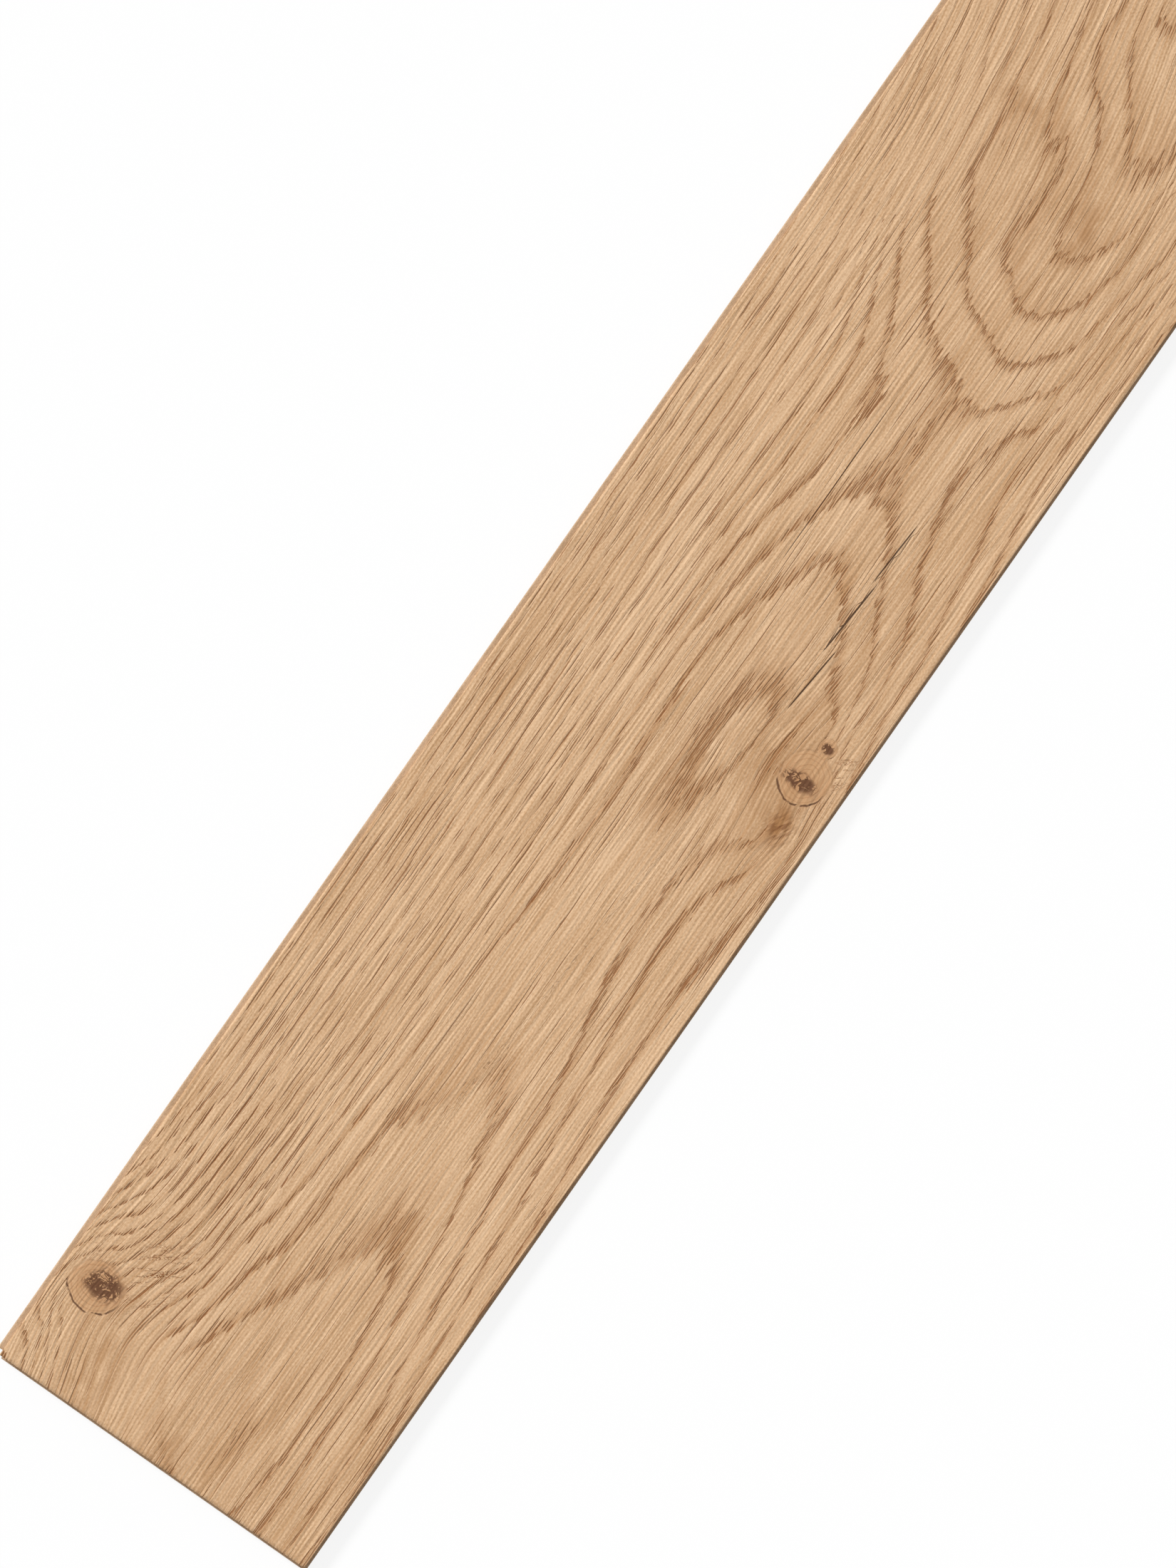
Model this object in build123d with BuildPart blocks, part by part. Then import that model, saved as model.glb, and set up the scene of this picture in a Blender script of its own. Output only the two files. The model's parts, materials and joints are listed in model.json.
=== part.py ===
"""Laminate floor plank: one pressed board with a locking tongue and groove milled round its four edges.

The frame is in millimetres. +X runs along the plank, +Y across it and +Z up out of the printed face.
The origin is on the underside, below the middle of the printed face.
"""

import os

from build123d import *

# Printed face and board
face_length = 1285.0
face_width = 192.0
thickness = 8.0

# Tongue, measured from the edge of the printed face
upper_lip = 2.5
tongue_thickness = 3.3
tongue_reach = 3.2
nose_rake = 0.9
nose_radius = 0.9
belly_radius = 0.7

# Hook that locks two planks together, on the lower lip
lip_reach = 1.4
hook_foot = 0.9
hook_slope = 0.75
hook_height = 0.9
hook_radius = 0.25

# Room left in the joint
play = 0.08
nose_gap = 0.4
lip_gap = 0.3

# Heights above the underside that follow from these
tongue_top = thickness - upper_lip
belly_level = tongue_top - tongue_thickness
pocket_level = belly_level + hook_height

# How far the hook runs in from the lip's end
hook_depth = lip_reach + hook_foot

# Corners of an edge's outline, from the printed face down
corner_radii = [0, nose_radius, belly_radius, hook_radius, hook_radius, hook_radius]


def tongue_points(edge):
    """The tongue edge's outline from the printed face, which ends at edge, down to the underside."""
    pocket_end = edge - lip_reach - lip_gap
    return [
        (edge, thickness),
        (edge, tongue_top),
        (edge + tongue_reach, tongue_top),
        (edge + tongue_reach - nose_rake, belly_level),
        (edge + hook_foot, belly_level),
        (edge + hook_foot - hook_slope, pocket_level),
        (pocket_end, pocket_level),
        (pocket_end, 0),
    ]


def groove_points(edge):
    """The groove edge's outline, which clears a neighbour's tongue by play, and its nose by nose_gap."""
    bottom = edge + tongue_reach + nose_gap
    lip_end = edge - lip_reach
    return [
        (edge, thickness),
        (edge, tongue_top + play),
        (bottom, tongue_top + play),
        (bottom - nose_rake, belly_level - play),
        (edge + hook_foot - play, belly_level - play),
        (edge + hook_foot - hook_slope - play, pocket_level - play),
        (lip_end, pocket_level - play),
        (lip_end, 0),
    ]


# The long edges are milled along the whole board. The ends are then milled right across it, through tongue and lip.
millings = [
    (Plane.YZ, face_width, face_length, Mode.ADD),
    (Plane.XZ, face_length, face_width, Mode.INTERSECT),
]

with BuildPart() as plank:
    for section_plane, face, run, mode in millings:
        with BuildSketch(section_plane):
            with BuildLine():
                groove = FilletPolyline(*groove_points(-face / 2), radius=corner_radii)
                tongue = FilletPolyline(*tongue_points(face / 2), radius=corner_radii)
                Line(groove @ 0, tongue @ 0)
                Line(groove @ 1, tongue @ 1)
            make_face()
        extrude(amount=run, both=True, mode=mode)
    # Where a lip's hook would run on under a tongue's end, the tongue is cut back to the lip.
    with Locations((-face_length / 2 - lip_reach, face_width / 2, 0)):
        Box(hook_depth, tongue_reach, thickness, align=Align.MIN, mode=Mode.SUBTRACT)
    with Locations((face_length / 2, -face_width / 2 - lip_reach, 0)):
        Box(tongue_reach, hook_depth, thickness, align=Align.MIN, mode=Mode.SUBTRACT)

plank.part.label = "plank"
os.makedirs("parts", exist_ok=True)
export_step(plank.part, "parts/plank.step")
print("plank", plank.part.bounding_box().size, "volume", round(plank.part.volume))
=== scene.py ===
# %% [markdown]
# # A laminate floor plank
#
# The plank is a pressed board with a thin printed layer on its face. The board's shape, with the tongue and
# the groove round its edges, comes from the CAD model and stays as it is. This lesson adds what CAD leaves
# out: the oak grain of the print, the shallow relief that is pressed into it, and the look of the board's
# milled edges.

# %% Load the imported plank
import json
import math

import bmesh
import bpy
import numpy as np
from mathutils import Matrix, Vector

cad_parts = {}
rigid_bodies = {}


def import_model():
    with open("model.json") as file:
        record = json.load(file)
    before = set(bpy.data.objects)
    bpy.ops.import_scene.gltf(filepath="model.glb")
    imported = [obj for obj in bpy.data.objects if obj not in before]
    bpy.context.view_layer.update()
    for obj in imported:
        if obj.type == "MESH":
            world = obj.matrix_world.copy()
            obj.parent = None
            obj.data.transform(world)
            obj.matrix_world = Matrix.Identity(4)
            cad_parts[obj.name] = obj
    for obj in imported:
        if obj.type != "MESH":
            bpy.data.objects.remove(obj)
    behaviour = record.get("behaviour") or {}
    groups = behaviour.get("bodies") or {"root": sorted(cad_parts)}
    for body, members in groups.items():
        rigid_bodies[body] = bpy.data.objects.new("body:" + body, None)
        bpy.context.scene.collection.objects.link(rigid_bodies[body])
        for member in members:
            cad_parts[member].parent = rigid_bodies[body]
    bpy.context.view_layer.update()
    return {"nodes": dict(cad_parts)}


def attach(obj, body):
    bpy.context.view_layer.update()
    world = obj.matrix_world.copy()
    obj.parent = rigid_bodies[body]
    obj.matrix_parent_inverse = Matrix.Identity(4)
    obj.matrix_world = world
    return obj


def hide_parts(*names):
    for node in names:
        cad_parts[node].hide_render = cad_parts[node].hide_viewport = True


for leftover in list(bpy.data.objects):
    bpy.data.objects.remove(leftover)

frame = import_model()

# %% [markdown]
# ## Where things are on the print
#
# A pattern is easiest to draw in its own two directions. Here they are millimetres along the plank from its
# near end, and millimetres across it from its tongue edge. The printed face is the highest flat face of the
# CAD model, so its four corners give both directions their zero, and no size is written down a second time.

# %% Measure the printed face
mm = 0.001
level_slack = 0.01 * mm
bare_plank = frame["nodes"]["plank"]
corners = np.empty(3 * len(bare_plank.data.vertices), np.float32)
bare_plank.data.vertices.foreach_get("co", corners)
corners = corners.reshape(-1, 3).astype(float)
face_level = corners[:, 2].max()
face_corners = corners[corners[:, 2] > face_level - level_slack]
near_end, far_end = face_corners[:, 0].min(), face_corners[:, 0].max()
groove_edge, tongue_edge = face_corners[:, 1].min(), face_corners[:, 1].max()
face_length = (far_end - near_end) / mm
face_width = (tongue_edge - groove_edge) / mm
print("printed face", round(face_length, 2), "x", round(face_width, 2), "mm")

# %% [markdown]
# ## Growth rings
#
# A plank sawn flat from a trunk cuts its growth rings at a slant, which gives long lines at the sides, arches
# along the middle and eddies round the knots. All of these are height lines of one smooth surface, just as on
# a map. So the rings are drawn as lines, each with its height, and a thin metal plate is bent through them in
# theory: the thin-plate formula gives the height everywhere else. A ring then lies wherever the height is a
# whole number.
#
# Noise or a wave texture could give rings too, but they would never meet at the arches and knots of this
# board.

# %% Draw the rings of the straight runs, each a height and its points along and across the plank
straight_rings = [
    (-13, [(150, -2), (300, 3), (450, -2)]),
    (-11, [(105, -3), (150, 10), (300, 15), (450, 10), (600, 3)]),
    (-9, [(88, 0), (120, 17), (150, 22), (300, 29), (450, 23), (600, 16), (680, 12), (760, 1)]),
    (-7, [(80, 8), (90, 20), (110, 28), (150, 34), (300, 41), (450, 36), (600, 30), (690, 26), (790, 10)]),
    (-6, [(0, 20), (25, 10), (40, 0)]),
    (-5, [(80, 28), (110, 40), (150, 45), (300, 54), (450, 50), (600, 48), (680, 46), (730, 36), (790, 22)]),
    (-5, [(790, 22), (840, 8)]),
    (-4, [(0, 31), (20, 23), (38, 12)]),
    (-3, [(0, 39), (25, 31), (80, 42), (110, 53), (150, 57), (300, 67), (450, 63), (600, 67), (640, 68)]),
    (-3, [(680, 66), (705, 57), (760, 38), (840, 22), (950, 6), (1285, 7)]),
    (-3, [(510, 188), (560, 184), (640, 173), (700, 172), (790, 184)]),
    (-2, [(0, 46), (30, 36), (75, 45), (100, 57), (150, 63), (300, 73), (350, 74), (460, 70), (540, 70)]),
    (-2, [(575, 75), (605, 82), (640, 86), (667, 87), (680, 80), (720, 62), (745, 48), (790, 40), (820, 39)]),
    (-2, [(860, 27), (950, 16), (1285, 16)]),
    (-2, [(423, 187), (385, 181), (328, 179), (298, 180), (235, 186), (160, 191)]),
    (-2, [(510, 177), (540, 176), (570, 171), (600, 157), (623, 151), (665, 147), (690, 157), (705, 166)]),
    (-2, [(780, 176), (950, 191), (1285, 190)]),
]
print("lines of the straight runs", len(straight_rings))

# %% Draw the arches at the near end
near_arches = [
    (2, [(0, 108), (15, 92), (30, 81), (45, 76), (75, 87), (93, 95), (120, 108), (150, 124), (161, 131)]),
    (2, [(150, 141), (110, 148), (50, 150), (0, 144)]),
    (1, [(0, 82), (15, 72), (30, 65), (60, 68), (75, 75), (100, 80), (130, 90), (190, 95), (210, 98)]),
    (1, [(225, 105), (245, 117), (264, 129), (250, 136), (215, 145), (165, 153), (120, 158)]),
    (1, [(50, 160), (0, 161)]),
    (2.7, [(0, 126), (60, 118)]),
    (2.45, [(100, 126)]),
    (1.8, [(186, 130)]),
    (1.55, [(212, 125)]),
]
print("lines of the near arches", len(near_arches))

# %% Draw the arches and the eye beside the second knot
middle_arches = [
    (0, [(0, 62), (25, 52), (40, 50), (65, 56), (85, 65), (140, 75), (200, 82), (300, 87), (350, 92)]),
    (0, [(450, 93)]),
    (0, [(520, 92), (545, 100), (575, 112), (583, 120), (575, 128), (545, 147), (512, 166)]),
    (0, [(440, 167), (427, 152), (412, 146), (377, 143), (335, 146), (270, 157), (165, 167), (125, 172)]),
    (0, [(75, 178), (0, 178)]),
    (0, [(465, 152), (480, 148), (500, 151)]),
    (-1, [(0, 54), (35, 42), (75, 52), (90, 58), (120, 63), (200, 74), (300, 80), (400, 82), (500, 79)]),
    (-1, [(530, 82), (587, 93), (608, 101), (620, 117), (617, 126), (570, 152), (525, 169)]),
    (-1, [(427, 173), (412, 165), (365, 158), (335, 161), (270, 168), (165, 180), (100, 186), (0, 189)]),
    (1, [(448, 125), (458, 121), (470, 119), (490, 120), (501, 124), (505, 130), (498, 136), (482, 137)]),
    (1, [(463, 133)]),
    (0.82, [(420, 120), (434, 113), (470, 110), (522, 127)]),
    (0.5, [(400, 121), (430, 105), (470, 102)]),
    (1.3, [(478, 128)]),
    (0.6, [(300, 122), (330, 118), (380, 115)]),
    (0.5, [(540, 120)]),
    (-1.10, [(640, 112), (655, 118), (675, 122)]),
]
print("lines of the middle arches", len(middle_arches))

# %% Draw the arches at the far end
far_arches = [
    (-1, [(870, 36), (835, 45), (775, 49), (760, 55), (722, 80), (707, 95), (697, 115), (690, 127)]),
    (-1, [(692, 138), (710, 152), (725, 163), (780, 170), (850, 178), (950, 182), (1285, 181)]),
    (-1, [(950, 26), (1285, 26)]),
    (0, [(880, 47), (835, 54), (825, 60), (790, 60), (778, 67), (750, 85), (730, 103), (718, 127)]),
    (0, [(725, 143)]),
    (0, [(755, 158), (810, 168), (900, 170), (1285, 170)]),
    (0, [(950, 37), (1285, 36)]),
    (1, [(895, 63), (860, 72), (832, 79), (826, 94), (800, 101), (785, 101), (770, 97), (757, 105)]),
    (1, [(745, 127)]),
    (1, [(760, 143), (800, 153), (835, 152), (900, 157), (1285, 158)]),
    (1, [(950, 50), (1285, 46)]),
    (2, [(910, 76), (885, 76), (860, 88), (845, 102), (805, 115), (785, 118), (778, 123), (785, 133)]),
    (2, [(810, 145), (840, 149), (900, 147), (1000, 140), (1285, 144)]),
    (2, [(950, 62), (1000, 54), (1285, 58)]),
    (3, [(905, 88), (890, 92), (865, 107), (845, 120), (838, 128), (845, 135), (853, 141), (900, 137)]),
    (3, [(1000, 127), (1285, 132)]),
    (3, [(940, 72), (1000, 64), (1285, 70)]),
    (4, [(1285, 82), (1050, 78), (940, 82), (912, 94), (940, 108), (1050, 117), (1285, 120)]),
    (4.5, [(1100, 98), (1250, 100)]),
]
drawn_rings = straight_rings + near_arches + middle_arches + far_arches
ring_points = np.array([point for height, line in drawn_rings for point in line], float)
ring_heights = np.array([height for height, line in drawn_rings for point in line], float)
print("rings drawn with", len(ring_points), "points")

# %% Bend a thin plate through the drawn rings
plate_reach = np.array([30.0, 10.0])
plate_slack = 0.005
smallest_square = 1e-9
plate_blocks = 60


def plate_bend(places, centres):
    """r squared times log r between each place and each centre. r is counted in reaches, longer along the
    grain."""
    away = (places[:, None, :] - centres[None, :, :]) / plate_reach
    squared = (away**2).sum(axis=2)
    return 0.5 * squared * np.log(squared + smallest_square)


def plate_slope(places):
    """The plate's plain part at each place: one, and its way along and across."""
    return np.column_stack([np.ones(len(places)), places / face_width])


bend = plate_bend(ring_points, ring_points) + plate_slack * np.eye(len(ring_points))
slope = plate_slope(ring_points)
plain_terms = slope.shape[1]
system = np.block([[bend, slope], [slope.T, np.zeros((plain_terms, plain_terms))]])
plate_weights = np.linalg.solve(system, np.concatenate([ring_heights, np.zeros(plain_terms)]))
print("plate solved for", len(plate_weights), "weights")

# %% Read the plate's height anywhere


def ring_height(along, across):
    """The plate's height: its plain slope plus each drawn point's weight times its bend, block by block."""
    places = np.column_stack([along.ravel(), across.ravel()])
    blocks = np.array_split(places, plate_blocks)
    heights = [np.hstack([plate_bend(b, ring_points), plate_slope(b)]) @ plate_weights for b in blocks]
    return np.concatenate(heights).reshape(along.shape)


first_arch = np.array([161.0]), np.array([131.0])
print("height at the first arch", ring_height(*first_arch))

# %% [markdown]
# ## Fibres
#
# The wood's fibres run along the plank and bend out of the way of the knots. A fibre is a line on which one
# number, its place across the plank, stays the same. Each swell moves that number in a soft round patch, so
# the fibres climb over it. At the far arches all of them step aside a little, as a soft S. Noise could bend
# them as well, but it wouldn't know where the knots are.

# %% Bend the fibres
fibre_swells = [
    # middle along, middle across, reach along, reach across, lift
    (46, 30, 46, 42, 14),
    (482, 146, 34, 24, 5),
    (450, 178, 16, 14, -3),
    (835, 60, 45, 40, 5),
]
far_shift = 30
far_shift_middle = 880
far_shift_reach = 60


def soft_patches(along, across, patches):
    """The sum of each patch's strength times a bell of its distance, which is counted in its own reaches."""
    middle_along, middle_across, reach_along, reach_across, strength = np.array(patches, float).T
    away_along = (along[..., None] - middle_along) / reach_along
    away_across = (across[..., None] - middle_across) / reach_across
    return (strength * np.exp(-(away_along**2) - away_across**2)).sum(axis=-1)


def fibre_line(along, across):
    """Place across, plus a soft step aside at the far arches, plus the swells."""
    step = 0.5 + 0.5 * np.tanh((along - far_shift_middle) / far_shift_reach)
    return across + far_shift * step + soft_patches(along, across, fibre_swells)


first_swell = np.array(fibre_swells[0][:2], float)
print("fibre lift at the large knot", fibre_line(*first_swell) - first_swell[1])

# %% [markdown]
# ## Knots and patches
#
# A knot is an oval with a cracked heart of its own. The wood round it differs from place to place: it is
# stained brown, it is calm with few pores or livelier than elsewhere, its rings have thin hard edges, it is
# smeared, or it is pitted where fibres end. Each of these is a list of soft round patches. They could be
# painted by hand, but a patch of five numbers, as for the fibres' swells, is easy to move and to weigh.

# %% Place the knots and their hearts
knot_ovals = [
    # middle along, middle across, radius along, radius across
    (57, 21, 13.5, 15.0),
    (482, 170, 15.0, 13.5),
    (501, 171, 5.5, 5.0),
]
heart_ovals = [
    (60, 24, 9.5, 12.0),
    (479, 169, 5.5, 12.0),
    (501, 171, 3.5, 4.0),
]


def nearest_of(gaps, *values):
    """At each place, the values that belong to the smallest gap."""
    nearest = np.abs(gaps).argmin(axis=-1)[..., None]
    return [np.take_along_axis(value, nearest, axis=-1)[..., 0] for value in values]


def nearest_oval(along, across, ovals):
    """Distance from the nearest oval's middle, counted in its own radii, so 1 lies on its rim, and the part
    of it that is along the plank: -1 at the near rim, 1 at the far rim."""
    middle_along, middle_across, radius_along, radius_across = np.array(ovals, float).T
    away_along = (along[..., None] - middle_along) / radius_along
    away = np.hypot(away_along, (across[..., None] - middle_across) / radius_across)
    return nearest_of(away, away, away_along)


print("knots", len(knot_ovals), "hearts", len(heart_ovals))

# %% Place the brown stains
stains = [
    # middle along, middle across, reach along, reach across, strength
    (20, 44, 26, 14, 0.55),
    (8, 94, 14, 14, 0.45),
    (455, 174, 9, 7, 0.9),
    (452, 172, 24, 14, 0.5),
    (482, 170, 18, 15, 0.35),
    (57, 22, 18, 18, 0.35),
    (175, 131, 28, 12, 0.45),
    (450, 118, 32, 9, 0.55),
    (510, 128, 14, 12, 0.4),
    (480, 147, 26, 8, 0.35),
    (655, 117, 44, 11, 0.15),
    (831, 64, 7, 16, 0.6),
    (795, 127, 16, 8, 0.6),
    (800, 110, 90, 60, 0.3),
    (40, 110, 110, 60, 0.22),
    (520, 140, 110, 45, 0.25),
]
print("stains", len(stains))

# %% Mark the calm, hard-edged, smeared and pitted places, with the same five numbers
calm_patches = [
    (18, 66, 34, 22, 0.95),
    (30, 100, 26, 18, 0.6),
    (36, 36, 15, 13, 0.6),
    (480, 128, 20, 6, 0.8),
    (446, 152, 18, 8, 0.7),
    (246, 118, 40, 20, 0.55),
    (130, 114, 45, 22, 0.3),
    (800, 18, 110, 30, 0.4),
    (120, 42, 75, 40, -0.4),
]
liveliest = -0.4
edge_patches = [
    (810, 115, 120, 62, 1.0),
    (1110, 100, 250, 130, 0.9),
    (180, 172, 260, 24, 0.8),
    (590, 172, 150, 30, 0.7),
]
smear_patches = [
    (453, 174, 9, 7, 1.0),
]
pit_patches = [
    (80, 43, 19, 13, 1.0),
    (70, 12, 10, 8, 0.5),
    (492, 184, 22, 6, 0.7),
]
print("patches", len(calm_patches) + len(edge_patches) + len(smear_patches) + len(pit_patches))

# %% [markdown]
# ## Checks
#
# A check is a dry crack along the fibres. It is a straight line with a width that swells from nothing at its
# ends, so it needs only its two ends and its half width. A cut in the mesh would need far finer faces than
# the rest, and a dark line that is also pressed in looks the same.

# %% Place the checks
checks = [
    # start along, start across, end along, end across, half width
    (507, 142.0, 545, 145.5, 0.45),
    (541, 140.0, 584, 143.0, 0.5),
    (586, 140.8, 622, 142.8, 0.42),
    (568, 95.5, 670, 96.0, 0.25),
]
check_bluntness = 0.3


def nearest_check(along, across):
    """Signed distance across to the nearest check's line, and that check's half width. The width follows a
    blunt parabola along the check."""
    start, start_across, end, end_across, half_width = np.array(checks, float).T
    share = (along[..., None] - start) / (end - start)
    gap = across[..., None] - start_across - (end_across - start_across) * share
    width = half_width * np.clip(4 * share * (1 - share), 0, 1) ** check_bluntness
    return nearest_of(gap, gap, width)


print("checks", len(checks))

# %% [markdown]
# ## The printed layer
#
# The real layer is a sheet of printed paper under a clear wear coat, pressed on in one go with a steel plate
# that carries the wood's relief. It is a closed slab here: a fine grid for the face, a short wall round it
# and a flat back. The face dips a little where the soft wood of each ring lies, and round the knots. The
# grid's lines crowd together at the knots, where the grain turns fast, and are wider apart on the long
# straight runs. A Displace modifier on a plain plane could give the dips too, but its grid would be as coarse
# at the knots as anywhere else.

# %% Lay out the grid of the face
lines_along = 470
lines_across = 200
fine_step_count = 4000
crowded_places = [
    # place along, reach, how much closer
    (57, 45, 2.2),
    (482, 55, 2.0),
    (780, 110, 0.5),
]
fine_steps = np.linspace(0, face_length, fine_step_count)
closeness = np.ones_like(fine_steps)
for place_along, reach, closer in crowded_places:
    closeness += closer * np.exp(-(((fine_steps - place_along) / reach) ** 2))
travelled = np.concatenate([[0], np.cumsum((closeness[1:] + closeness[:-1]) / 2)])
steps_along = np.interp(np.linspace(0, travelled[-1], lines_along + 1), travelled, fine_steps)
steps_across = np.linspace(0, face_width, lines_across + 1)
along, across = np.meshgrid(steps_along, steps_across, indexing="ij")
step_lengths = np.diff(steps_along)
print("finest step", step_lengths.min().round(2), "widest step", step_lengths.max().round(2))

# %% Work out the pattern on the grid
ring = ring_height(along, across)
fibre = fibre_line(along, across)
knot, knot_side = nearest_oval(along, across, knot_ovals)
heart = nearest_oval(along, across, heart_ovals)[0]
stain = soft_patches(along, across, stains)
calm = np.clip(soft_patches(along, across, calm_patches), liveliest, 1)
edge = np.clip(soft_patches(along, across, edge_patches), 0, 1)
pit = np.clip(soft_patches(along, across, pit_patches), 0, 1)
smear = np.clip(soft_patches(along, across, smear_patches), 0, 1)
check_gap, check_width = nearest_check(along, across)
print("rings from", ring.min().round(1), "to", ring.max().round(1))

# %% Work out how wide each ring's belt of pores is
least_belt = 0.34
belt_width = 0.9
widest_belt = 0.6
least_steepness = 0.006
edge_narrowing = 0.3
steepness = np.maximum(np.hypot(*np.gradient(ring, steps_along, steps_across)), least_steepness)
belt = np.clip(least_belt + belt_width * steepness, 0, widest_belt) * (1 - edge_narrowing * edge)
print("belts from", belt.min().round(2), "to", belt.max().round(2), "of a ring")

# %% Work out the relief
soft_wood_dip = 0.05
knot_rim_dip = 0.10
knot_rim_width = 0.12
heart_dip = 0.08
heart_sharpness = 2
flat_border = 3.0


def relief(ring, knot, heart):
    """Millimetres below the face: a cosine swell once a ring, a narrow bell at a knot's rim and one in its
    heart."""
    soft_wood = soft_wood_dip * (0.5 + 0.5 * np.cos(2 * math.pi * ring)) * np.clip(knot - 1, 0, 1)
    rim = knot_rim_dip * np.exp(-(((knot - 1) / knot_rim_width) ** 2))
    return soft_wood + rim + heart_dip * np.exp(-(heart**2) * heart_sharpness)


to_ends = np.minimum(along, face_length - along)
to_sides = np.minimum(across, face_width - across)
dip = relief(ring, knot, heart) * np.clip(np.minimum(to_ends, to_sides) / flat_border, 0, 1)
print("deepest dip", dip.max().round(3), "mm")

# %% Shape a closed slab from a grid


def closed_slab(name, x, y, top, bottom):
    """A grid of top points, a wall from its rim down to bottom, and a fan of triangles from a middle point
    below."""
    number = np.arange(x.size).reshape(x.shape)
    quads = [number[:-1, :-1], number[:-1, 1:], number[1:, 1:], number[1:, :-1]]
    face = np.stack(quads, axis=-1).reshape(-1, 4)
    rim = np.concatenate([number[0, :-1], number[:-1, -1], number[-1, :0:-1], number[:0:-1, 0]])
    below = x.size + np.arange(len(rim))
    wall = np.stack([rim, below, np.roll(below, -1), np.roll(rim, -1)], axis=-1)
    middle = np.full(len(rim), x.size + len(rim))
    back = np.stack([middle, np.roll(below, -1), below], axis=-1)
    points = np.column_stack([x.ravel(), y.ravel(), top.ravel()])
    lower = np.column_stack([points[rim, :2], np.full(len(rim), bottom)])
    centre = np.array([[x.mean(), y.mean(), bottom]])
    mesh = bpy.data.meshes.new(name)
    mesh.from_pydata(np.vstack([points, lower, centre]), [], face.tolist() + wall.tolist() + back.tolist())
    smooth = np.zeros(len(mesh.polygons), bool)
    smooth[: len(face)] = True
    mesh.polygons.foreach_set("use_smooth", smooth)
    mesh.polygons.foreach_set("material_index", np.where(smooth, 0, 1).astype(np.int32))
    return mesh, rim


print("slab helper ready")

# %% Build the printed layer
layer_thickness = 0.3
layer_back = face_level - layer_thickness * mm
x = near_end + along * mm
y = tongue_edge - across * mm
layer_mesh, layer_rim = closed_slab("printed_layer", x, y, face_level - dip * mm, layer_back)
printed_layer = bpy.data.objects.new("printed_layer", layer_mesh)
bpy.context.scene.collection.objects.link(printed_layer)
print("printed layer", len(layer_mesh.vertices), "points", len(layer_mesh.polygons), "faces")

# %% Write the pattern's numbers onto the layer's points
pattern = {
    "ring": ring,
    "belt": belt,
    "steepness": steepness,
    "calm": calm,
    "edge": edge,
    "pit": pit,
    "smear": smear,
    "fibre": fibre,
    "knot": knot,
    "knot_side": knot_side,
    "heart": heart,
    "stain": stain,
    "check_gap": check_gap,
    "check_width": check_width,
}
for name, values in pattern.items():
    flat = values.ravel()
    whole = np.concatenate([flat, flat[layer_rim], [0.0]]).astype(np.float32)
    layer_mesh.attributes.new(name, "FLOAT", "POINT").data.foreach_set("value", whole)
print("written", list(pattern))

# %% Lay the face out flat for baking, stretched across the grain where its detail is finest
map_margin = 0.01
back_strip = 0.02
layer_map = layer_mesh.uv_layers.new(name="OFBake")
corner_points = np.empty(len(layer_mesh.loops), np.int32)
layer_mesh.loops.foreach_get("vertex_index", corner_points)
point_along = np.concatenate([along.ravel(), along.ravel()[layer_rim], [face_length / 2]]) / face_length
point_across = np.concatenate([across.ravel(), across.ravel()[layer_rim], [face_width / 2]]) / face_width
map_u = map_margin + (1 - 2 * map_margin) * point_along
map_v = back_strip + map_margin + (1 - back_strip - 2 * map_margin) * (1 - point_across)
map_places = np.column_stack([map_u, map_v])[corner_points]
loop_starts = np.empty(len(layer_mesh.polygons), np.int32)
layer_mesh.polygons.foreach_get("loop_start", loop_starts)
first_back_loop = loop_starts[lines_along * lines_across]
map_places[first_back_loop:, 1] *= back_strip
layer_map.data.foreach_set("uv", map_places.astype(np.float32).ravel())
print("map", map_places.min(axis=0).round(3), map_places.max(axis=0).round(3))

# %% [markdown]
# ## The board
#
# The board is the CAD model itself, with its tongue, groove and locking lip, less the thin top slice that the
# printed layer takes. Its mesh is a copy, because the CAD node stays untouched. The copy's loose triangles
# are merged, the slice is cut away with a plane, and the hole that this leaves is closed again. The profile
# could be drawn anew, but a copy keeps every milled corner where the CAD has it.

# %% Cut the board from a copy of the CAD mesh
merge_reach = 0.001 * mm
board_mesh = bare_plank.data.copy()
board_mesh.name = "board"
work = bmesh.new()
work.from_mesh(board_mesh)
bmesh.ops.remove_doubles(work, verts=work.verts, dist=merge_reach)
everything = work.verts[:] + work.edges[:] + work.faces[:]
cut = {"plane_co": (0, 0, layer_back), "plane_no": (0, 0, 1), "dist": merge_reach}
bmesh.ops.bisect_plane(work, geom=everything, clear_outer=True, **cut)
open_edges = [side for side in work.edges if side.is_boundary]
bmesh.ops.holes_fill(work, edges=open_edges)
still_open = sum(not side.is_manifold for side in work.edges)
work.to_mesh(board_mesh)
work.free()
board = bpy.data.objects.new("board", board_mesh)
bpy.context.scene.collection.objects.link(board)
print("board", len(board_mesh.polygons), "faces, open edges", still_open)

# %% [markdown]
# ## A few words for building materials
#
# A material is a small net of nodes. These helpers make one node each, or a few, and hand back the result, so
# that a finish reads like a recipe: a streak of noise, a fade between two values, one colour inked over
# another.

# %% Helpers that feed and reckon


def feed(tree, socket, value):
    """Links a socket to another node's result, or sets it to a plain number or colour."""
    if isinstance(value, bpy.types.NodeSocket):
        tree.links.new(value, socket)
    else:
        socket.default_value = value


def calc(tree, operation, *values):
    """One step of arithmetic."""
    step = tree.nodes.new("ShaderNodeMath")
    step.operation = operation
    for socket, value in zip(step.inputs, values):
        feed(tree, socket, value)
    return step.outputs[0]


def times(tree, first, *others):
    """The product of all values."""
    for other in others:
        first = calc(tree, "MULTIPLY", first, other)
    return first


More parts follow.
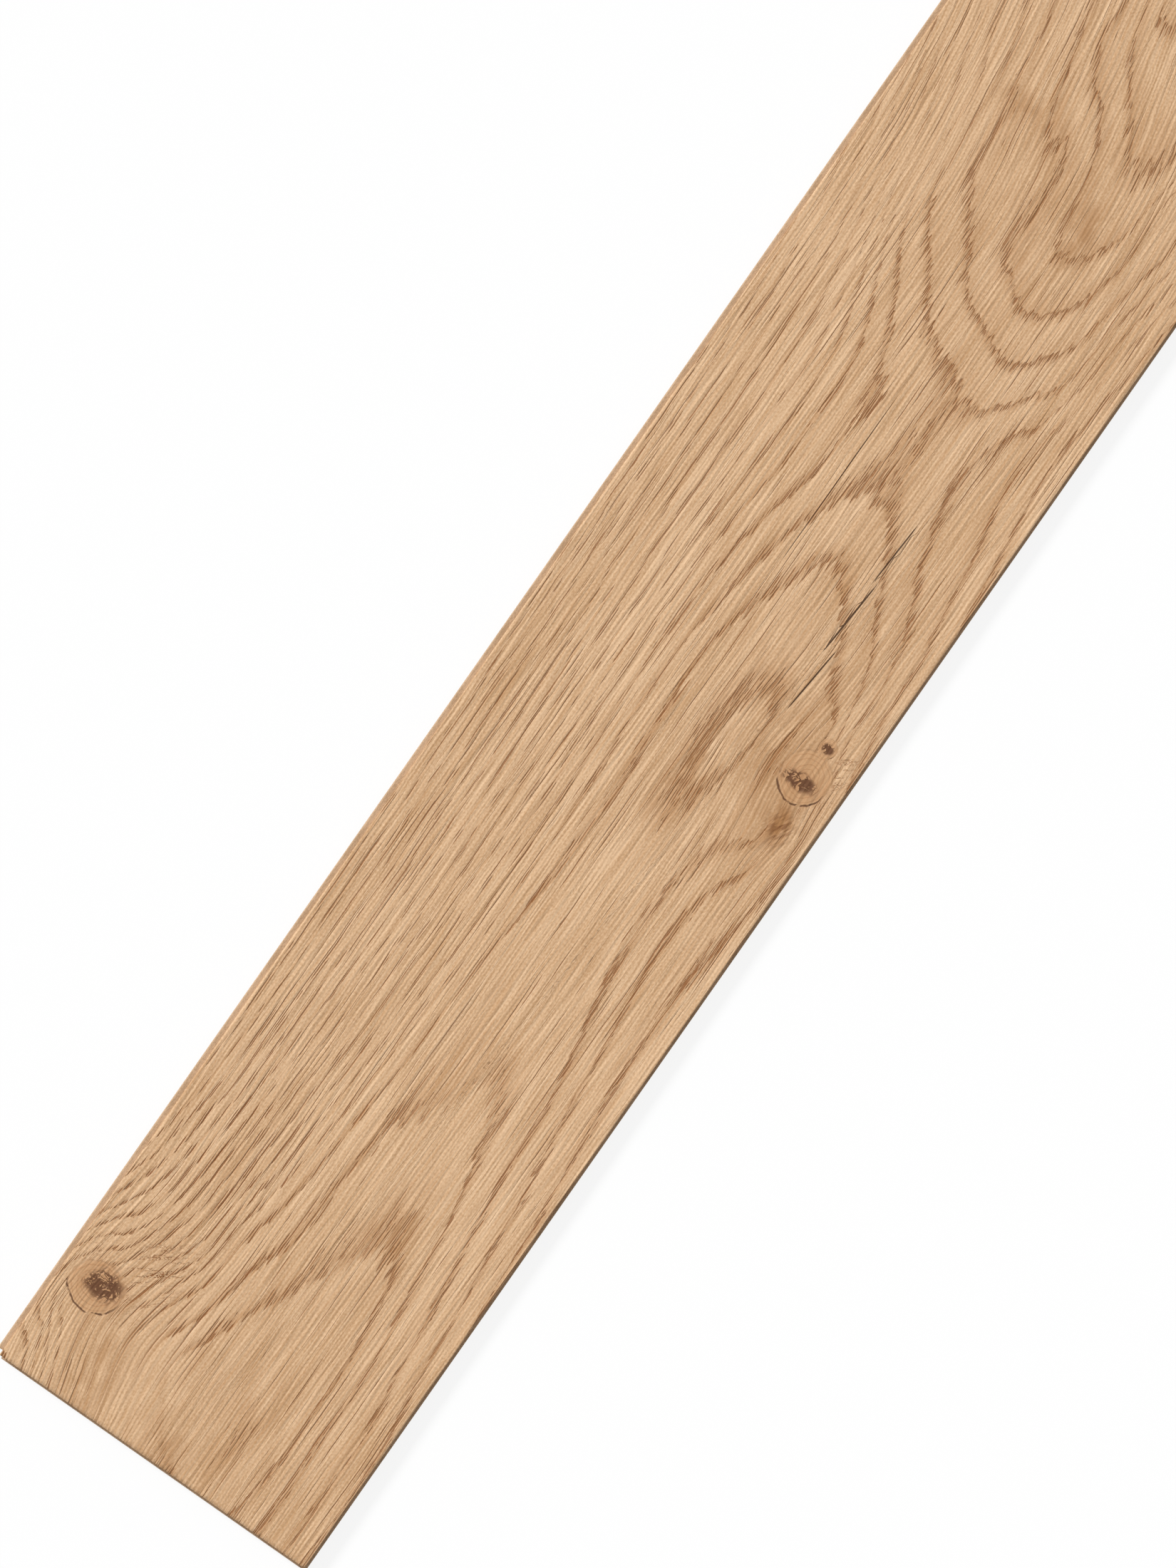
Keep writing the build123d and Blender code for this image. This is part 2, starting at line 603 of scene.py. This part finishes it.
def largest(tree, first, *others):
    """The largest of all values."""
    for other in others:
        first = calc(tree, "MAXIMUM", first, other)
    return first


def apart(tree, first, second):
    """How far two values are apart, whichever is larger."""
    return calc(tree, "ABSOLUTE", calc(tree, "SUBTRACT", first, second))


def weighed(tree, *pairs):
    """The sum of values, each times its weight."""
    total = 0.0
    for value, weight in pairs:
        total = calc(tree, "MULTIPLY_ADD", value, weight, total)
    return total


print("reckoning helpers ready")

# %% Helpers that fade and colour


def paint(red, green, blue):
    """A colour as a screen shows it, 0 to 255, made linear by the usual screen curve."""
    parts = np.array([red, green, blue]) / 255
    linear = np.where(parts <= 0.04045, parts / 12.92, ((parts + 0.055) / 1.055) ** 2.4)
    return (*linear.tolist(), 1.0)


def fade(tree, value, start, end):
    """0 before start, 1 after end, and a smooth step between them."""
    step = tree.nodes.new("ShaderNodeMapRange")
    step.interpolation_type = "SMOOTHSTEP"
    feed(tree, step.inputs["Value"], value)
    feed(tree, step.inputs["From Min"], start)
    feed(tree, step.inputs["From Max"], end)
    return step.outputs["Result"]


def blend(tree, share, first, second):
    """The first colour where share is 0, the second where it is 1."""
    step = tree.nodes.new("ShaderNodeMix")
    step.data_type = "RGBA"
    feed(tree, step.inputs["Factor"], share)
    feed(tree, step.inputs[6], first)
    feed(tree, step.inputs[7], second)
    return step.outputs[2]


def ink(tree, under, colour, where, strength):
    """A colour laid over what is under it, by where times strength."""
    return blend(tree, times(tree, where, strength), under, colour)


print("colour helpers ready")

# %% Helpers that read a place and make noise


def read(tree, name):
    """A number that was written onto the mesh's points."""
    step = tree.nodes.new("ShaderNodeAttribute")
    step.attribute_name = name
    return step.outputs["Fac"]


def place(tree, along, across, up):
    """The place on the piece along x, y and z, each counted in its own length, in millimetres."""
    where = tree.nodes.new("ShaderNodeTexCoord").outputs["Object"]
    parts = tree.nodes.new("ShaderNodeSeparateXYZ")
    feed(tree, parts.inputs[0], where)
    return [calc(tree, "DIVIDE", part, size * mm) for part, size in zip(parts.outputs, (along, across, up))]


def noise(tree, parts, detail, distortion=0.0):
    """Soft noise, about 0.5, at a place given by its parts."""
    where = tree.nodes.new("ShaderNodeCombineXYZ")
    for socket, part in zip(where.inputs, parts):
        feed(tree, socket, part)
    step = tree.nodes.new("ShaderNodeTexNoise")
    feed(tree, step.inputs["Vector"], where.outputs[0])
    step.inputs["Scale"].default_value = 1.0
    step.inputs["Detail"].default_value = detail
    step.inputs["Distortion"].default_value = distortion
    return step.outputs["Fac"]


print("place and noise helpers ready")

# %% Helpers that start a finish and press a relief into it


def finish(name):
    """A new material with a plain surface, its net of nodes and that surface."""
    material = bpy.data.materials.new(name)
    material.use_nodes = True
    return material, material.node_tree, material.node_tree.nodes["Principled BSDF"]


def press(tree, surface, height, depth):
    """Presses a height pattern into a surface, so that light catches it."""
    bump = tree.nodes.new("ShaderNodeBump")
    bump.inputs["Strength"].default_value = 1.0
    bump.inputs["Distance"].default_value = depth * mm
    feed(tree, bump.inputs["Height"], height)
    feed(tree, surface.inputs["Normal"], bump.outputs["Normal"])


print("finish helpers ready")

# %% [markdown]
# ## The oak print
#
# Oak is ring-porous: each spring it grows a belt of wide pores, then dense wood for the rest of the year. Cut
# lengthwise, a pore shows as a dark dash along the fibres. So the pores are dashes in narrow lanes along the
# fibre lines, common where a ring begins and rare elsewhere. On the straight runs that gives rows of dashes,
# and at an arch it gives a comb of short strokes, as in real oak. The pores are pressed in as well as
# printed, which is why each one has a dark and a bright side under light from the left.
#
# The wood between them is nearly plain. Broad, middle and fine streaks and a speckle, all faint, keep it from
# looking painted. Streaks alone could pass for wood from afar, but close up oak is known by its dashes.

# %% Start the oak print with its fibres
oak_print, oak, oak_surface = finish("oak_print")
oak_along, oak_across = place(oak, along=1, across=1, up=1)[:2]
slow_wobble = noise(oak, place(oak, along=38, across=9, up=1), detail=1.0)
quick_wobble = noise(oak, place(oak, along=7, across=2.2, up=1), detail=1.0)
slow_sway = 1.8
quick_sway = 0.3
oak_fibre = weighed(oak, (read(oak, "fibre"), 1.0), (slow_wobble, slow_sway), (quick_wobble, quick_sway))


def streaks(length, width, seed, detail=2.0):
    """Noise drawn out along the fibres, with the length and width of one streak in millimetres."""
    parts = [calc(oak, "DIVIDE", oak_along, length), calc(oak, "DIVIDE", oak_fibre, width), seed]
    return noise(oak, parts, detail)


def slanted(lean, length, width, seed):
    """Noise drawn out at a lean to the plank, with the length and width of one stroke in millimetres."""
    ahead, aside = math.cos(lean), math.sin(lean)
    stroke_along = weighed(oak, (oak_along, ahead / length), (oak_across, -aside / length))
    stroke_across = weighed(oak, (oak_along, aside / width), (oak_across, ahead / width))
    return noise(oak, [stroke_along, stroke_across, seed], detail=1.0)


print("fibres laid")

# %% Tint the wood with faint streaks
pale_oak = paint(232, 196, 158)
warm_oak = paint(192, 151, 110)
broad_share = 0.2
middle_share = 0.12
fine_share = 0.42
speckle_share = 0.26
broad_tone = streaks(length=260, width=30, seed=1)
middle_tone = streaks(length=110, width=4.0, seed=2)
fine_tone = streaks(length=46, width=1.2, seed=3, detail=1.0)
speckle = noise(oak, place(oak, along=1.3, across=0.9, up=1), detail=0.0)
wide_tones = weighed(oak, (broad_tone, broad_share), (middle_tone, middle_share))
tone = weighed(oak, (wide_tones, 1.0), (fine_tone, fine_share), (speckle, speckle_share))
oak_colour = blend(oak, fade(oak, tone, start=0.31, end=0.69), warm_oak, pale_oak)
print("streaks laid")

# %% Find where each ring begins
comb = 0.55
steep = read(oak, "steepness")
edged = read(oak, "edge")
ring_wander = weighed(oak, (streaks(length=40, width=2.2, seed=4), comb), (1.0, -comb / 2))
below_ring = calc(oak, "FRACT", calc(oak, "SUBTRACT", ring_wander, read(oak, "ring")))
belt_fade = fade(oak, below_ring, start=read(oak, "belt"), end=0.0)
belt_lead = fade(oak, below_ring, start=0.94, end=1.0)
lively = calc(oak, "SUBTRACT", 1.0, read(oak, "calm"))
spring_wood = times(oak, largest(oak, belt_fade, belt_lead), lively)
arch_wood = times(oak, spring_wood, fade(oak, steep, start=0.13, end=0.07))
print("rings found")

# %% Cut the pores, in lanes along the fibres
lane_spread = 5.37
dash_ends = 12.0


def pore_lanes(length, pitch, half_width, rare, common, seed, belt=spring_wood):
    """Dashes in lanes along the fibres: each lane has its own noise along it, which has to rise over a bar.
    The bar sinks from rare to common where a ring begins. The result falls off from a dash's middle line to
    its sides."""
    lanes = calc(oak, "DIVIDE", oak_fibre, pitch)
    lane = calc(oak, "MULTIPLY", calc(oak, "FLOOR", lanes), lane_spread)
    off_middle = apart(oak, calc(oak, "FRACT", lanes), 0.5)
    along_lane = noise(oak, [calc(oak, "DIVIDE", oak_along, length), lane, seed], detail=1.0)
    over_bar = calc(oak, "SUBTRACT", along_lane, calc(oak, "MULTIPLY_ADD", belt, common - rare, rare))
    strength = calc(oak, "MINIMUM", calc(oak, "MULTIPLY", over_bar, dash_ends), 1.0)
    return calc(oak, "SUBTRACT", strength, calc(oak, "MULTIPLY", off_middle, pitch / half_width))


long_pores = pore_lanes(length=50, pitch=2.1, half_width=0.29, rare=0.64, common=0.47, seed=5)
short_pores = pore_lanes(length=18, pitch=1.25, half_width=0.27, rare=0.72, common=0.44, seed=6)
thin_pores = pore_lanes(length=90, pitch=2.0, half_width=0.26, rare=0.60, common=0.56, seed=7)
hair_pores = pore_lanes(
    length=7, pitch=1.3, half_width=0.27, rare=0.80, common=0.43, seed=8, belt=arch_wood
)
pore_rise = largest(oak, long_pores, thin_pores, short_pores, hair_pores)
print("pores cut")

# %% Add the hard edges of some rings and the rows of pits
edge_strength = 0.75
ring_gap = calc(oak, "DIVIDE", below_ring, steep)
edge_breaks = fade(oak, streaks(length=70, width=5.0, seed=8), start=0.40, end=0.56)
edge_lines = times(oak, fade(oak, ring_gap, start=0.8, end=0.1), edge_breaks, edged, edge_strength)

pit_lean = math.radians(54)
pit_rows = fade(oak, slanted(pit_lean, length=24, width=2.6, seed=4), start=0.48, end=0.60)
pit_dots = fade(oak, slanted(pit_lean, length=1.4, width=1.0, seed=9), start=0.46, end=0.58)
pits = times(oak, pit_rows, pit_dots, read(oak, "pit"))

calm_pores = 0.3
outside_knot = fade(oak, read(oak, "knot"), start=0.95, end=1.15)
pore_share = times(oak, outside_knot, weighed(oak, (lively, 1 - calm_pores), (1.0, calm_pores)))
open_pores = largest(oak, fade(oak, pore_rise, start=-0.1, end=0.7), edge_lines, pits)
pores = times(oak, open_pores, pore_share)
pore_grooves = times(oak, largest(oak, fade(oak, pore_rise, start=-0.9, end=0.8), open_pores), pore_share)
print("edges and pits added")

# %% Colour the belts and the pores
spring_oak = paint(174, 126, 82)
pore_brown = paint(124, 66, 20)
arch_tint = 0.34
edge_tint = -0.12
spring_tint = 0.2
flat_rings = fade(oak, steep, start=0.16, end=0.07)
spring_share = weighed(oak, (flat_rings, arch_tint), (edged, edge_tint), (1.0, spring_tint))
late_wood = times(oak, fade(oak, below_ring, start=0.5, end=1.0), edged)
oak_colour = ink(oak, oak_colour, spring_oak, spring_wood, strength=spring_share)
oak_colour = ink(oak, oak_colour, spring_oak, late_wood, strength=0.3)
oak_colour = ink(oak, oak_colour, pore_brown, pores, strength=0.72)
print("belts and pores coloured")

# %% Stain and smear the wood round the knots
stain_brown = paint(168, 122, 80)
smear_brown = paint(112, 68, 40)
patchy = noise(oak, place(oak, along=14, across=9, up=1), detail=3.0)
stain_share = times(oak, read(oak, "stain"), fade(oak, patchy, start=0.25, end=0.65))
smear_lean = math.radians(23)
smear_noise = slanted(smear_lean, length=6.0, width=1.3, seed=3)
smear_strokes = times(oak, fade(oak, smear_noise, start=0.42, end=0.62), read(oak, "smear"))
oak_colour = ink(oak, oak_colour, stain_brown, stain_share, strength=0.8)
oak_colour = ink(oak, oak_colour, smear_brown, smear_strokes, strength=0.7)
print("stains laid")

# %% [markdown]
# ## Knots in the print
#
# A knot is a branch cut across. It has rings of its own, a dark broken rim where its bark was, on one side
# more than on the other, and a heart that dried and cracked. The cracks follow the lines where two kinds of
# noise are just about half, because such lines wander and branch as cracks do.

# %% Draw the knots and their rims
knot_tan = paint(200, 156, 114)
heart_red = paint(160, 108, 70)
knot_unevenness = 0.24
rim_radius = 1.12
far_rim = 0.2
ring_pitch = 0.09
knot_wobble = noise(oak, place(oak, along=6, across=6, up=1), detail=2.0)
knot_radius = weighed(oak, (read(oak, "knot"), 1.0), (knot_wobble, knot_unevenness))
inside_knot = fade(oak, knot_radius, start=1.20, end=1.05)
knot_rings = fade(oak, calc(oak, "PINGPONG", knot_radius, ring_pitch), start=0.055, end=0.09)
oak_colour = ink(oak, oak_colour, knot_tan, inside_knot, strength=0.6)
oak_colour = ink(oak, oak_colour, heart_red, times(oak, knot_rings, inside_knot), strength=0.35)

rim_side = weighed(oak, (read(oak, "knot_side"), 1.0), (knot_wobble, 1.0))
near_side = fade(oak, rim_side, start=0.55, end=-0.05)
rim_breaks = fade(oak, noise(oak, place(oak, along=4, across=4, up=1), detail=1.0), start=0.34, end=0.50)
rim_share = times(oak, rim_breaks, weighed(oak, (near_side, 1 - far_rim), (1.0, far_rim)))
knot_rim = times(oak, fade(oak, apart(oak, knot_radius, rim_radius), start=0.055, end=0.01), rim_share)
print("knots drawn")

# %% Crack the knots' hearts
heart_brown = paint(92, 58, 40)
heart_unevenness = 0.6
wide_vein = 0.5
close_vein = 0.46
heart_edge = weighed(oak, (read(oak, "heart"), 1.0), (knot_wobble, heart_unevenness))
heart_glow = fade(oak, heart_edge, start=1.9, end=0.6)
heart_inside = fade(oak, heart_edge, start=1.35, end=0.85)
wide_noise = noise(oak, place(oak, along=5, across=6, up=1), detail=2.0, distortion=0.9)
close_noise = noise(oak, place(oak, along=3.2, across=4.4, up=1), detail=1.0, distortion=0.6)
wide_veins = fade(oak, apart(oak, wide_noise, wide_vein), start=0.10, end=0.05)
close_veins = fade(oak, apart(oak, close_noise, close_vein), start=0.05, end=0.015)
heart_cracks = times(oak, largest(oak, wide_veins, close_veins), heart_inside)
knot_marks = largest(oak, knot_rim, heart_cracks)
oak_colour = ink(oak, oak_colour, heart_red, heart_glow, strength=0.35)
oak_colour = ink(oak, oak_colour, heart_brown, knot_marks, strength=0.88)
print("hearts cracked")

# %% Draw the checks
check_brown = paint(58, 34, 20)
check_reach = calc(oak, "ABSOLUTE", read(oak, "check_gap"))
check_edge = calc(oak, "SUBTRACT", check_reach, read(oak, "check_width"))
check_marks = fade(oak, check_edge, start=0.15, end=-0.2)
oak_colour = ink(oak, oak_colour, check_brown, check_marks, strength=0.9)
feed(oak, oak_surface.inputs["Base Color"], oak_colour)
print("checks drawn")

# %% Press the grain in and set its sheen
pore_dip = -0.8
streak_dip = -2.1
mark_dip = -1.0
grain_depth = 0.25
wood_roughness = 0.50
pore_roughness = 0.2
wood_gloss = 0.1
fine_grooves = streaks(length=30, width=1.6, seed=7, detail=0.0)
marks = largest(oak, knot_marks, check_marks)
grain_height = weighed(oak, (pore_grooves, pore_dip), (fine_grooves, streak_dip), (marks, mark_dip))
press(oak, oak_surface, grain_height, grain_depth)
oak_roughness = weighed(oak, (pores, pore_roughness), (1.0, wood_roughness))
feed(oak, oak_surface.inputs["Roughness"], oak_roughness)
oak_surface.inputs["Specular IOR Level"].default_value = wood_gloss
layer_mesh.materials.append(oak_print)
print("oak print has", len(oak.nodes), "nodes")

# %% [markdown]
# ## Pressed fibreboard and backing paper
#
# The board's core is wood fibre pressed with resin. Its milled edges show a fine, even, tan-brown felt of
# fibres. The underside carries a sheet of plain paper that keeps the board flat. Both are noise at two
# scales, fine for the fibres and coarse for the uneven colour of the mix, so one recipe makes both. One even
# colour would be simpler, but it would look like plastic.

# %% A recipe for felted fibres
cloud_detail = 2.0


def felted(name, light, dark, fibre, fibre_detail, cloud, fibre_share, tones, roughness, gloss, depth):
    """Fine fibres and broad clouds: their weighed sum fades from dark to light over the tones, and the fibres
    alone make the surface rougher and are pressed into it."""
    material, tree, surface = finish(name)
    fibres = noise(tree, place(tree, *fibre), fibre_detail)
    clouds = noise(tree, place(tree, *cloud), cloud_detail)
    mix = weighed(tree, (fibres, fibre_share), (clouds, 1 - fibre_share))
    least_rough, rougher = roughness
    feed(tree, surface.inputs["Base Color"], blend(tree, fade(tree, mix, *tones), dark, light))
    feed(tree, surface.inputs["Roughness"], weighed(tree, (fibres, rougher), (1.0, least_rough)))
    surface.inputs["Specular IOR Level"].default_value = gloss
    press(tree, surface, fibres, depth)
    return material


print("felt recipe ready")

# %% Mix the fibreboard and lay the backing paper
fibreboard = felted(
    "pressed_fibreboard",
    light=paint(200, 169, 138),
    dark=paint(175, 145, 114),
    fibre=(1.4, 0.5, 0.35),
    fibre_detail=3.0,
    cloud=(18, 9, 2.5),
    fibre_share=0.6,
    tones=(0.36, 0.62),
    roughness=(0.72, 0.2),
    gloss=0.2,
    depth=0.08,
)
backing_paper = felted(
    "backing_paper",
    light=paint(214, 200, 176),
    dark=paint(196, 180, 154),
    fibre=(3.5, 1.2, 1),
    fibre_detail=4.0,
    cloud=(60, 35, 1),
    fibre_share=0.5,
    tones=(0.38, 0.62),
    roughness=(0.6, 0.25),
    gloss=0.25,
    depth=0.05,
)
layer_mesh.materials.append(fibreboard)
print("mixed", fibreboard.name, backing_paper.name)

# %% Give the board its two materials
straight_down = -0.99
board_mesh.materials.clear()
board_mesh.materials.append(fibreboard)
board_mesh.materials.append(backing_paper)
face_normals = np.empty(3 * len(board_mesh.polygons), np.float32)
face_middles = np.empty_like(face_normals)
board_mesh.polygons.foreach_get("normal", face_normals)
board_mesh.polygons.foreach_get("center", face_middles)
underside = corners[:, 2].min()
is_backing = (face_normals[2::3] < straight_down) & (face_middles[2::3] < underside + level_slack)
board_mesh.polygons.foreach_set("material_index", is_backing.astype(np.int32))
board_mesh.polygons.foreach_set("use_smooth", np.zeros(len(board_mesh.polygons), bool))
board_mesh.update()
print("backing faces", int(is_backing.sum()), "of", len(is_backing))

# %% [markdown]
# ## One plank
#
# The board and its printed layer are glued for good, so both ride on the same body and both stand for the CAD
# plank.

# %% Ride on the body and stand for the plank
for piece in (printed_layer, board):
    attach(piece, "root")
    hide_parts("plank")
print("pieces", printed_layer.name, board.name)

# %% [markdown]
# ## Floor and light
#
# The photograph shows the plank on pure white. A large pale floor takes the plank's soft shadow and looks
# white to the camera. More light would whiten the floor too, but it would bleach the oak. An even sky gives
# about half of the light, and one soft lamp low on the picture's upper left brings out the relief. Together
# they light a flat face at about 1, so that a colour renders about as it is written.

# %% Lay the floor
floor_half = 6.0
floor_drop = 0.0002
floor_mesh = bpy.data.meshes.new("floor")
floor_square = np.array([(-1, -1, 0), (1, -1, 0), (1, 1, 0), (-1, 1, 0)])
floor_mesh.from_pydata(floor_square * floor_half - (0, 0, floor_drop), [], [(0, 1, 2, 3)])
floor = bpy.data.objects.new("floor", floor_mesh)
bpy.context.scene.collection.objects.link(floor)
print("floor", floor_half * 2, "m wide")

# %% Paint the floor, pale to the light and white to the camera
white_share = 0.85
floor_grey = 0.97


def seen_directly(tree):
    """1 for rays that show the background to the camera, straight on, in a mirror or through glass."""
    path = tree.nodes.new("ShaderNodeLightPath").outputs
    return largest(tree, path["Is Camera Ray"], path["Is Glossy Ray"], path["Is Transmission Ray"])


floor_paint, ground, floor_surface = finish("pale_floor")
floor_surface.inputs["Base Color"].default_value = (floor_grey, floor_grey, floor_grey, 1)
floor_surface.inputs["Roughness"].default_value = 0.9
floor_surface.inputs["Specular IOR Level"].default_value = 0.0
white = ground.nodes.new("ShaderNodeEmission")
white.inputs["Color"].default_value = (1, 1, 1, 1)
white.inputs["Strength"].default_value = 1.0
floor_mix = ground.nodes.new("ShaderNodeMixShader")
feed(ground, floor_mix.inputs[0], times(ground, seen_directly(ground), white_share))
feed(ground, floor_mix.inputs[1], floor_surface.outputs[0])
feed(ground, floor_mix.inputs[2], white.outputs[0])
feed(ground, ground.nodes["Material Output"].inputs["Surface"], floor_mix.outputs[0])
floor_mesh.materials.append(floor_paint)
print("floor painted, white share", white_share)

# %% Set the sky
sky_level = 0.46
sky = bpy.data.worlds.new("sky")
sky.use_nodes = True
air = sky.node_tree
bpy.context.scene.world = sky
above = air.nodes["Background"]
above.inputs["Color"].default_value = (1, 1, 1, 1)
sky_strength = weighed(air, (seen_directly(air), 1 - sky_level), (1.0, sky_level))
feed(air, above.inputs["Strength"], sky_strength)
print("sky level", sky_level)

# %% Set the lamp, low on the picture's upper left
lean = math.radians(35)
lamp_level = 0.54
lamp_height = math.radians(35)
lamp_spread = math.radians(14)
picture_right = np.array([math.sin(lean), -math.cos(lean), 0])
picture_up = np.array([math.cos(lean), math.sin(lean), 0])
lamp_from = (picture_up - picture_right) / math.sqrt(2) * math.cos(lamp_height)
lamp_from[2] = math.sin(lamp_height)
lamp = bpy.data.lights.new("soft_lamp", "SUN")
lamp.energy = lamp_level * math.pi / math.sin(lamp_height)
lamp.angle = lamp_spread
soft_lamp = bpy.data.objects.new("soft_lamp", lamp)
soft_lamp.rotation_mode = "QUATERNION"
soft_lamp.rotation_quaternion = Vector(lamp_from.tolist()).to_track_quat("Z", "Y")
bpy.context.scene.collection.objects.link(soft_lamp)
print("lamp strength", round(lamp.energy, 2))

# %% [markdown]
# ## Camera
#
# The photograph looks straight down on the plank, which leans 35 degrees to the right. Its near corner and
# its width in pixels fix the picture's middle and its scale. A short lens could frame the same view, but it
# would show the plank's sides, so the camera has a long lens and hangs far above.

# %% Find the picture's middle on the plank, from its near corner and its width in the photograph
photo_width = 1650
photo_height = 2200
near_corner_right = -0.86
near_corner_down = 1900.85
plank_width_pixels = 522.2
pixels_per_mm = plank_width_pixels / face_width
to_centre_right = (photo_width / 2 - near_corner_right) / pixels_per_mm
to_centre_up = (near_corner_down - photo_height / 2) / pixels_per_mm
centre_along = to_centre_right * math.sin(lean) + to_centre_up * math.cos(lean)
centre_across = to_centre_right * math.cos(lean) - to_centre_up * math.sin(lean)
print("picture's middle", round(centre_along, 1), "along", round(centre_across, 1), "across")

# %% Set the camera straight above that place
lens = 250.0
sensor = 36.0
view_height = photo_height / pixels_per_mm * mm
above_face = view_height * lens / sensor
camera_data = bpy.data.cameras.new("camera")
camera_data.sensor_fit = "VERTICAL"
camera_data.sensor_height = sensor
camera_data.lens = lens
camera = bpy.data.objects.new("camera", camera_data)
camera_x = near_end + centre_along * mm
camera_y = tongue_edge - centre_across * mm
camera.location = (camera_x, camera_y, face_level + above_face)
camera.rotation_euler = (0, 0, lean - math.pi / 2)
bpy.context.scene.collection.objects.link(camera)
bpy.context.scene.camera = camera
bpy.context.scene.view_settings.view_transform = "Standard"
print("camera", round(above_face, 2), "m above the face")
